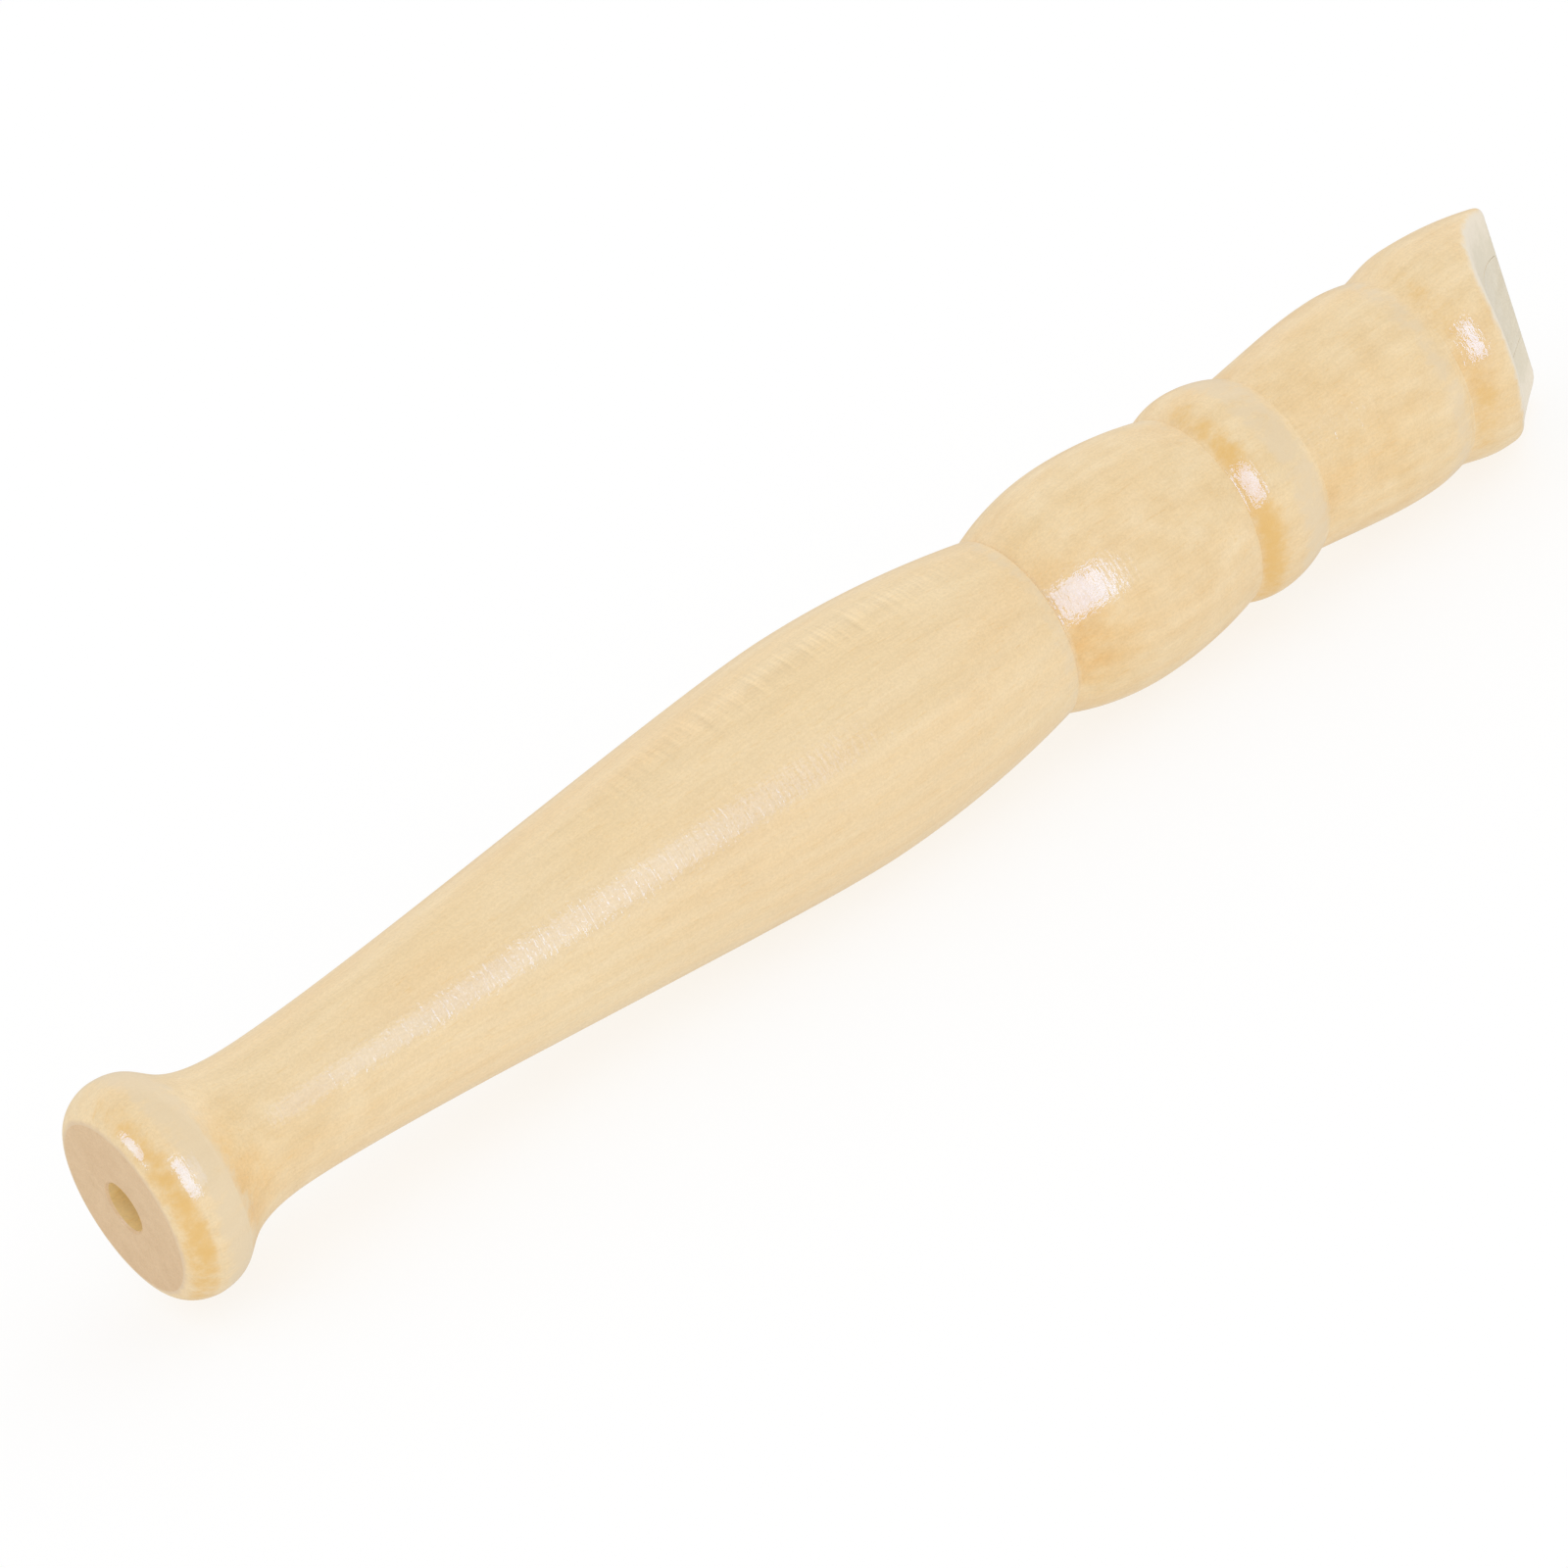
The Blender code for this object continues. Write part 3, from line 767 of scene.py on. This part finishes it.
def buildBody():
    # the outline turned, less the hand sanding on its lacquered part, less the finger holes
    rows, marks, outside = bodyOutline()
    fade = bodyShape["sandedFade"]
    window = np.ones(2 * fade + 1) / (2 * fade + 1)
    lacquered = (marks == finishNumber["lacquer"]).astype(float)
    held = np.convolve(np.pad(lacquered, fade, mode="wrap"), window, mode="valid")[:, None]
    height = allRound(rows[:, 1])
    radius = rows[:, :1] + handSanding(height, turns) * np.clip(held * 2 - 1, 0, 1)
    obj = turnedPiece("turnedBody", radius, height, turnedFinishes, marks)
    carve(obj, fingerDrills(outside))
    finishPiece(obj, "body", "body_joint")


buildBody()

# Cork: a slip-on ring, a little crowned, in the tenon's groove

corkShape = {
    "outer": 8.45,
    "inner": 6.85,
    "low": heightOf(corkHigh.x),
    "high": heightOf(corkLow.x),
    "squareness": 5.0,
    "rows": 72,
}


def buildCork():
    # superellipse section: nearly square, with soft corners and a crowned face
    s = corkShape
    t = np.linspace(0, 2 * math.pi, s["rows"], endpoint=False)
    power = 2 / s["squareness"]
    bulge = np.sign(np.cos(t)) * np.abs(np.cos(t)) ** power
    rise = np.sign(np.sin(t)) * np.abs(np.sin(t)) ** power
    radius = (s["outer"] + s["inner"]) / 2 + (s["outer"] - s["inner"]) / 2 * bulge
    height = (s["low"] + s["high"]) / 2 + (s["high"] - s["low"]) / 2 * rise
    obj = turnedPiece("corkRing", radius[:, None], height[:, None], [finishes["cork"]], np.zeros(len(t)))
    finishPiece(obj, "cork", "tenon_cork")


buildCork()

# Head: barrel, ring bead, cone and mouthpiece, cut off by the lip and the hollow of the beak

headShape = {
    "rim": (10.80, heightOf(headHigh.x) - recorder["seam"]),  # just inside the shoulder's rolled edge
    "rimRoll": 0.06,
    "barrel": ((headHigh.z - headLow.z) / 2 / mm, 135.1),
    "barrelRoll": 0.6,
    "barrelSteep": math.radians(80),
    "ringGroove": (11.75, 148.6),
    "ring": (12.8, 152.8),
    "ringRoll": 0.6,
    "ringSteep": math.radians(80),
    "coneNeck": (11.2, 159.1),
    "cone": (12.875, 175.5),
    "coneSlope": 0.13,
    "coneEase": (0.51, 0.29),
    "coneRoll": 1.10,
    "coneSteep": math.radians(48),
    "mouthGroove": (12.14, 180.5),
    "mouth": (13.26, 187.0),
    "mouthSlope": 0.09,
    "mouthEase": (0.36, 0.42),
    "lip": (11.8, 199.2),
    "crease": 0.035,  # softness of the line at the bottom of a groove
    "mouthCrease": 0.14,
    "bore": 5.75,
    "socket": 8.65,
    "socketFloor": bodyShape["tenonTop"] + bodyShape["seatGap"],
    "socketChamfer": 0.4,
}
beakShape = {
    "lipHeight": heightOf(headLow.x),
    "lipOffset": 2.6,  # the lip is this far in front of the axis
    "length": 12.7,  # heel to lip
    "drum": 26.0,  # radius of the hollow
    "lipEase": 0.30,
    "lipRound": 1.15,  # rounding of the rim at the lip
    "heelRound": 2.20,  # and at the heel
    "heelReach": 0.3,  # how far past the sides the heel's rounding starts
}
headRows = {
    "rise": (30, 7),  # rim of the socket to the barrel's crest
    "beads": 150,  # crest to just past the mouth's groove
    "pastGroove": 0.8,
    "crowding": 7,  # more rows at each groove
    "crowdReach": 0.7,
    "trial": 4000,  # heights that the crowding is summed over
    "side": 44,
    "rim": 9,
    "face": 46,
    "bore": 48,
    "socketStep": 0.8,
    "curve": (200, 120),  # points on the cone's flank and on the mouth's rise
    "sanded": (8, 30),  # from this row to this one on the mouth's side
    "sandedFade": 12,
    "halvings": 40,
}


def beadAt(height, crest, start, end, roll, steep):
    # rise and fall on circles level at the crest; the fall rolls over near its end and runs on straight
    side = height - crest[1]
    riseRadius, fallRadius = circleThrough(crest, start), circleThrough(crest, end)
    rise = crest[0] - riseRadius + np.sqrt(np.maximum(riseRadius ** 2 - side ** 2, 0))
    fall = crest[0] - fallRadius + np.sqrt(np.maximum(fallRadius ** 2 - side ** 2, 0))
    rollRun = end[1] - roll - crest[1]
    rollOut = math.sqrt((fallRadius - roll) ** 2 - rollRun ** 2)
    run = side - rollRun
    bent = np.clip(run, -roll, roll * math.sin(steep))
    rolled = np.sqrt(roll ** 2 - bent ** 2)
    over = crest[0] - fallRadius + rollOut + rolled - (run - bent) * math.tan(steep)
    turnAt = rollRun + roll * rollRun / (fallRadius - roll)
    return np.where(side < 0, rise, np.where(side < turnAt, fall, np.maximum(over, 0)))


def headRadius(height):
    # upper envelope of the four beads: close in the first two creases, wide in the one below the mouth
    s = headShape
    barrel = beadAt(height, s["barrel"], s["rim"], s["ringGroove"], s["barrelRoll"], s["barrelSteep"])
    ring = beadAt(height, s["ring"], s["ringGroove"], s["coneNeck"], s["ringRoll"], s["ringSteep"])
    cone = beadAt(height, s["cone"], s["coneNeck"], s["mouthGroove"], s["coneRoll"], s["coneSteep"])
    side = easedCurve(s["coneNeck"], s["cone"], s["coneEase"], headRows["curve"][0], s["coneSlope"])
    before = s["coneNeck"][0] - s["coneSlope"] * (s["coneNeck"][1] - height)
    flank = np.where(height < s["coneNeck"][1], before, np.interp(height, side[:, 1], side[:, 0]))
    cone = np.where(height < s["cone"][1], flank, cone)
    rise = easedCurve(s["mouthGroove"], s["mouth"], s["mouthEase"], headRows["curve"][1], s["mouthSlope"])
    run = height - s["mouth"][1]
    bend = circleThrough(s["mouth"], s["lip"])
    fall = s["mouth"][0] - bend + np.sqrt(np.maximum(bend ** 2 - run ** 2, 0))
    mouth = np.where(run < 0, np.interp(height, rise[:, 1], rise[:, 0]), fall)
    mouth = mouth - s["mouthSlope"] * np.maximum(s["mouthGroove"][1] - height, 0)
    lower = np.logaddexp.reduce(np.stack((barrel, ring, cone)) / s["crease"]) * s["crease"]
    return np.logaddexp(lower / s["mouthCrease"], mouth / s["mouthCrease"]) * s["mouthCrease"]


def beakDrum():
    # centre (back, height) of the circle through the lip and the heel of the hollow
    s = beakShape
    lip = np.array((-s["lipOffset"], s["lipHeight"]))
    heel = np.array((headShape["mouth"][0], s["lipHeight"] - s["length"]))
    chord = heel - lip
    span = np.hypot(*chord)
    outwards = np.array((-chord[1], chord[0])) / span
    return (lip + heel) / 2 + outwards * math.sqrt(s["drum"] ** 2 - span ** 2 / 4)


drumBack, drumHeight = beakDrum()


def endHeight(back):
    # the lower of the lip's plane and the drum's underside, softened where they meet
    s = beakShape
    hollow = drumHeight - np.sqrt(np.maximum(s["drum"] ** 2 - (back - drumBack) ** 2, 0))
    ease = s["lipEase"]
    return -ease * np.logaddexp(-s["lipHeight"] / ease, -hollow / ease)


def trimmedTop():
    # halving search, all turns at once, for the height where the outside meets the end surface
    low = np.full(recorder["around"], headShape["mouthGroove"][1])
    high = np.full(recorder["around"], beakShape["lipHeight"])
    for _ in range(headRows["halvings"]):
        middle = (low + high) / 2
        over = middle > endHeight(headRadius(middle) * np.cos(turns))
        high = np.where(over, middle, high)
        low = np.where(over, low, middle)
    return (low + high) / 2


beakTop = trimmedTop()
beakRim = headRadius(beakTop)


def sandedAt(height, radius, turn):
    # how far a point lies inside the beak's rim: its inset from the outside less its depth below the end
    rim = np.interp(turn, turns, beakRim, period=2 * math.pi)
    return rim - radius - np.abs(endHeight(radius * np.cos(turn)) - height)


def crowded(low, high, places, count):
    # heights from low to high, closer together near the given places
    fine = np.linspace(low, high, headRows["trial"])
    bells = sum(np.exp(-((fine - place) / headRows["crowdReach"]) ** 2) for place in places)
    weight = 1 + headRows["crowding"] * bells
    share = np.concatenate(([0], np.cumsum((weight[1:] + weight[:-1]) / 2)))
    return np.interp(np.linspace(0, share[-1], count), share, fine)


def headStretches():
    # finish, radius and height of each stretch of rows: up the outside, in over the end and down the inside
    s, b, n = headShape, beakShape, headRows
    rise = rolledArc(s["barrel"], s["rim"], s["rimRoll"], n["rise"])[::-1]
    grooves = (s["ringGroove"][1], s["coneNeck"][1], s["mouthGroove"][1])
    beads = crowded(s["barrel"][1], s["mouthGroove"][1] + n["pastGroove"], grooves, n["beads"])[1:]

    # the rim's rounding grows smoothly from the lip to the heel
    back = np.clip(np.cos(turns) + b["heelReach"], 0, 1)
    ease = b["lipRound"] + (b["heelRound"] - b["lipRound"]) * back ** 2 * (3 - 2 * back)
    rimLow, inner = beakTop - ease, beakRim - ease
    side = beads[-1] + (rimLow - beads[-1]) * sharesOf(n["side"])

    # rim: quadratic Bezier from the outside, towards the sharp corner, to the end face
    t = sharesOf(n["rim"])
    rimRadius = (1 - t) ** 2 * headRadius(rimLow) + 2 * t * (1 - t) * beakRim + t * t * inner
    rimHeight = (1 - t) ** 2 * rimLow + 2 * t * (1 - t) * beakTop + t * t * endHeight(inner * np.cos(turns))

    # end face: each turn runs straight inwards to the bore, on the lip's plane or in the hollow
    face = inner + (s["bore"] - inner) * sharesOf(n["face"])
    boreTop = endHeight(s["bore"] * np.cos(turns))
    bore = boreTop + (s["socketFloor"] - boreTop) * sharesOf(n["bore"])
    socket = stepped((
        (s["bore"], s["socketFloor"]),
        (s["socket"], s["socketFloor"]),
        (s["socket"], s["rim"][1] + s["socketChamfer"]),
        (s["socket"] + s["socketChamfer"], s["rim"][1]),
        rise[0],
    ), n["socketStep"])[1:-1]
    return (
        ("lacquer", allRound(rise[:, 0]), allRound(rise[:, 1])),
        ("lacquer", allRound(headRadius(beads)), allRound(beads)),
        ("lacquer", headRadius(side), side),
        ("lacquer", rimRadius, rimHeight),
        ("lacquer", face, endHeight(face * np.cos(turns))),
        ("bare", np.full_like(bore, s["bore"]), bore),
        ("bare", allRound(socket[:, 0]), allRound(socket[:, 1])),
    )


def buildHead():
    # the stretches joined to one closed surface, less the hand sanding of its outside, less the window
    stretches = headStretches()
    marks = np.concatenate([np.full(len(radius), finishNumber[name]) for name, radius, height in stretches])
    radius = np.concatenate([radius for name, radius, height in stretches])
    height = np.concatenate([height for name, radius, height in stretches])
    rows = np.arange(len(marks))[:, None]
    first, fade = headRows["sanded"][0], headRows["sandedFade"]
    last = len(stretches[0][1]) + len(stretches[1][1]) + headRows["sanded"][1]
    held = np.clip((rows - first) / fade, 0, 1) * np.clip((last - rows) / fade, 0, 1)
    radius = radius + handSanding(height, turns) * held
    obj = turnedPiece("turnedHead", radius, height, turnedFinishes, marks)
    carve(obj, windowKnife())
    finishPiece(obj, "head", "head_joint", sandedAt)


windowShape = {
    "top": heightOf(blockEnd),  # the block's end is the window's upper edge
    "length": 4.6,
    "width": 7.4,
    "inner": -2.1,
    "edge": 0.5,  # thickness of the sounding edge
    "ramp": math.radians(26),
    "outer": -18.0,
}


def windowKnife():
    # outline of (height, depth): the window straight in, and the ramp to the sounding edge, carried across
    s = windowShape
    labium = s["top"] - s["length"]
    edge = -(headShape["bore"] + s["edge"])
    rampFoot = labium - (edge - s["outer"]) / math.tan(s["ramp"])
    outline = np.array((
        (s["top"], s["inner"]),
        (labium, s["inner"]),
        (labium, edge),
        (rampFoot, s["outer"]),
        (s["top"], s["outer"]),
    ))
    sides = np.array((-0.5, 0.5))[:, None] * s["width"]
    quads = gridFaces(2, len(outline), False)
    places = placed(outline[:, 0], outline[:, 1], sides)
    return makeCutter("windowKnife", places, quads, endCaps(2, len(outline)))


buildHead()

# Block: the plug that fills the bore from the window to the lip, flat where the breath passes

blockShape = {
    "radius": headShape["bore"] - 0.05,  # a glue line inside the bore
    "flat": 4.25,  # floor of the windway, in front of the axis
    "low": heightOf(blockEnd),
    "cornerEase": 0.12,
    "around": 128,
    "endRows": 30,
    "endCap": 0.04,  # share of the radius that the caps close
    "sideRows": 40,
    "thin": 1e-3,  # keeps the reach finite where the flat is not
}


def buildBlock():
    # round section cut by the flat: radius = softened lesser of the circle and flat / -cos(turn)
    s = blockShape
    turn = np.linspace(0, 2 * math.pi, s["around"], endpoint=False)
    reach = s["flat"] / np.maximum(-np.cos(turn), s["thin"])
    edge = -s["cornerEase"] * np.logaddexp(-s["radius"] / s["cornerEase"], -reach / s["cornerEase"])
    share = np.linspace(s["endCap"], 1, s["endRows"])[:, None]
    lower = share * edge
    upper = share[::-1] * edge
    up = sharesOf(s["sideRows"])[:-1]
    topEdge = endHeight(edge * np.cos(turn))
    radius = np.concatenate((lower, np.repeat(edge[None], len(up), axis=0), upper))
    height = np.concatenate((np.full(lower.shape, s["low"]), s["low"] + (topEdge - s["low"]) * up,
                             endHeight(upper * np.cos(turn))))
    quads = gridFaces(len(radius), s["around"], False)
    marks = np.where(np.arange(len(radius) - 1) < len(lower) + len(up), 0, 1)
    obj = makeObject("fippleBlock", lay(radius, height, turn), quads, endCaps(len(radius), s["around"]),
                     [finishes["bare"], finishes["beak"]], np.repeat(marks, s["around"]))
    finishPiece(obj, "head", "fipple_block")


buildBlock()

# Camera at the photograph's viewing angle

photoView = {
    "frame": 1600,  # pixels a side
    "focal": 7200,  # pixels
    "footPixel": (126.2, 1233.0),  # middle of the foot's end face
    "pixelAtFoot": 0.100477 * mm,
    "axisAngle": math.radians(33.1),  # slope of the long axis in the picture
    "tilt": math.radians(24.5875),  # how far the mouth end leans away
    "roll": math.radians(27.6),  # turn of the back from the lens
    "sensor": 36.0,
    "clip": (0.01, 20.0),
}


def setPose(obj, axes, place):
    # the axes are the columns of its turn
    pose = np.eye(4)
    pose[:3, :3] = axes
    pose[:3, 3] = place
    obj.matrix_world = Matrix(pose.tolist())


def addCamera():
    # the recorder's axes as the lens sees them; their rows turn camera space into the frame
    v = photoView
    cosA, sinA = math.cos(v["axisAngle"]), math.sin(v["axisAngle"])
    cosT, sinT = math.cos(v["tilt"]), math.sin(v["tilt"])
    cosR, sinR = math.cos(v["roll"]), math.sin(v["roll"])
    mouthward = np.array((cosA * cosT, sinA * cosT, -sinT))
    upright = np.array((-sinA, cosA, 0.0))
    facing = np.cross(mouthward, upright)
    axes = np.stack((-mouthward, cosR * facing - sinR * upright, cosR * upright + sinR * facing))
    half = v["frame"] / 2
    footSeen = np.array((v["footPixel"][0] - half, half - v["footPixel"][1], -v["focal"])) * v["pixelAtFoot"]
    data = bpy.data.cameras.new("camera")
    data.sensor_width = v["sensor"]
    data.lens = v["focal"] / v["frame"] * v["sensor"]
    data.clip_start, data.clip_end = v["clip"]
    obj = addObject("camera", data)
    setPose(obj, axes, np.array((recorder["footX"], 0.0, recorder["axisZ"])) - axes @ footSeen)
    bpy.context.scene.camera = obj
    return axes


toFrame = addCamera()

# Studio: a pale floor, a white surround that is dim on the lens's side, and three softboxes for the gloss

studio = {
    "floorSize": 3.0,
    "floorTone": 0.34,
    "floorGlow": 0.68,  # for the lens only, so that the paper reads as white
    "floorBounce": 0.91,  # what the recorder sees of the paper
    "floorGloss": 0.62,  # and what its gloss shows of it
    "surround": 1.015,
    "farShare": 0.86,  # of it, over the far side
    "farEdge": (0.3, 1.0),
    "openSide": 0.80,  # what the gloss sees beyond the recorder
    "dimSide": 0.26,  # and behind the lens
    "dimEdge": (-0.50, -0.02),
    "white": (1, 1, 1, 1),
    "boxColour": (0.26, 0.51, 1.00),
    # height it is aimed at, metres away, degrees along and across from the lens, degrees wide and high, glow
    "boxes": (
        ("rightBox", 140.0, 2.50, 16.5, -7.5, 25.0, 39.0, 6.5),
        ("lowBox", 50.0, 0.36, 38.0, -7.5, 18.0, 26.0, 1.60),
        ("leftBox", 5.0, 0.90, -41.4, 31.7, 24.0, 24.0, 6.2),
    ),
}


def addFloor():
    # a square of paper that glows for the lens, and gives the recorder an even light from below
    half = studio["floorSize"] / 2
    mesh = bpy.data.meshes.new("paperFloor")
    corners = [(-half, -half, 0), (half, -half, 0), (half, half, 0), (-half, half, 0)]
    mesh.from_pydata(corners, [], [(0, 1, 2, 3)])
    obj = addObject("paperFloor", mesh)
    made = bpy.data.materials.new("paper")
    made.use_nodes = True
    tree = made.node_tree
    tree.nodes.remove(tree.nodes["Principled BSDF"])
    path = addNode(tree, "ShaderNodeLightPath")
    tone = studio["floorTone"]
    paper = addNode(tree, "ShaderNodeBsdfDiffuse", {"Color": (tone, tone, tone, 1)})
    glow = addNode(tree, "ShaderNodeEmission", {"Strength": studio["floorGlow"]})
    seen = addNode(tree, "ShaderNodeAddShader", {0: paper.outputs[0], 1: glow.outputs[0]})
    share = ranged(tree, path.outputs["Is Glossy Ray"], 0.0, 1.0, studio["floorBounce"], studio["floorGloss"])
    bounce = addNode(tree, "ShaderNodeEmission", {"Strength": share})
    either = addNode(tree, "ShaderNodeMixShader", {"Fac": path.outputs["Is Camera Ray"], 1: bounce.outputs[0],
                                                   2: seen.outputs[0]})
    setInputs(tree, tree.nodes["Material Output"], {"Surface": either.outputs[0]})
    mesh.materials.append(made)


def addSurround():
    # white for the lens, even for the wood but for its far side, and for the gloss dim behind the lens
    world = bpy.data.worlds.new("surround")
    bpy.context.scene.world = world
    world.use_nodes = True
    tree = world.node_tree
    way = addNode(tree, "ShaderNodeTexCoord").outputs["Generated"]

    def sky(strength):
        inputs = {"Color": studio["white"], "Strength": strength}
        return addNode(tree, "ShaderNodeBackground", inputs).outputs[0]

    def skyBetween(towards, edge, low, high):
        # strength that changes with the angle to a direction
        facing = addNode(tree, "ShaderNodeVectorMath", {0: way, 1: towards}, operation="DOT_PRODUCT")
        return sky(ranged(tree, facing.outputs["Value"], *edge, low, high))

    farSide = (0.0, -math.sin(photoView["roll"]), math.cos(photoView["roll"]))
    even = skyBetween(farSide, studio["farEdge"], studio["surround"], studio["surround"] * studio["farShare"])
    gloss = skyBetween(tuple(toFrame[:, 2]), studio["dimEdge"], studio["openSide"], studio["dimSide"])
    path = addNode(tree, "ShaderNodeLightPath")
    seen = maths(tree, "MAXIMUM", path.outputs["Is Camera Ray"], path.outputs["Is Transmission Ray"])
    lit = addNode(tree, "ShaderNodeMixShader", {"Fac": path.outputs["Is Glossy Ray"], 1: even, 2: gloss})
    every = addNode(tree, "ShaderNodeMixShader", {"Fac": seen, 1: lit.outputs[0], 2: sky(1.0)})
    setInputs(tree, tree.nodes["World Output"], {"Surface": every.outputs[0]})


def addSoftboxes():
    # each box faces a place on the recorder from an angle that is read off the highlights
    slope = photoView["axisAngle"]
    alongAxis = np.array((math.cos(slope), math.sin(slope), 0.0))
    acrossAxis = np.array((-math.sin(slope), math.cos(slope), 0.0))
    for name, aim, distance, along, across, wide, high, glow in studio["boxes"]:
        way = math.sin(math.radians(along)) * alongAxis + math.sin(math.radians(across)) * acrossAxis
        way[2] = math.sqrt(1 - way @ way)
        flat = alongAxis - way * (alongAxis @ way)
        flat = flat / np.linalg.norm(flat)
        light = bpy.data.lights.new(name, "AREA")
        light.shape = "RECTANGLE"
        light.size = 2 * distance * math.tan(math.radians(wide) / 2)
        light.size_y = 2 * distance * math.tan(math.radians(high) / 2)
        light.energy = glow * math.pi * light.size * light.size_y
        light.color = studio["boxColour"]
        obj = addObject(name, light)
        setPose(obj, toFrame @ np.stack((flat, np.cross(way, flat), way), axis=1),
                lay(0.0, aim, 0.0) + toFrame @ way * distance)
        obj.visible_diffuse = False
        obj.visible_camera = False


addFloor()
addSurround()
addSoftboxes()
bpy.context.scene.view_settings.view_transform = "Standard"
print("studio: floor, surround and", len(studio["boxes"]), "softboxes")
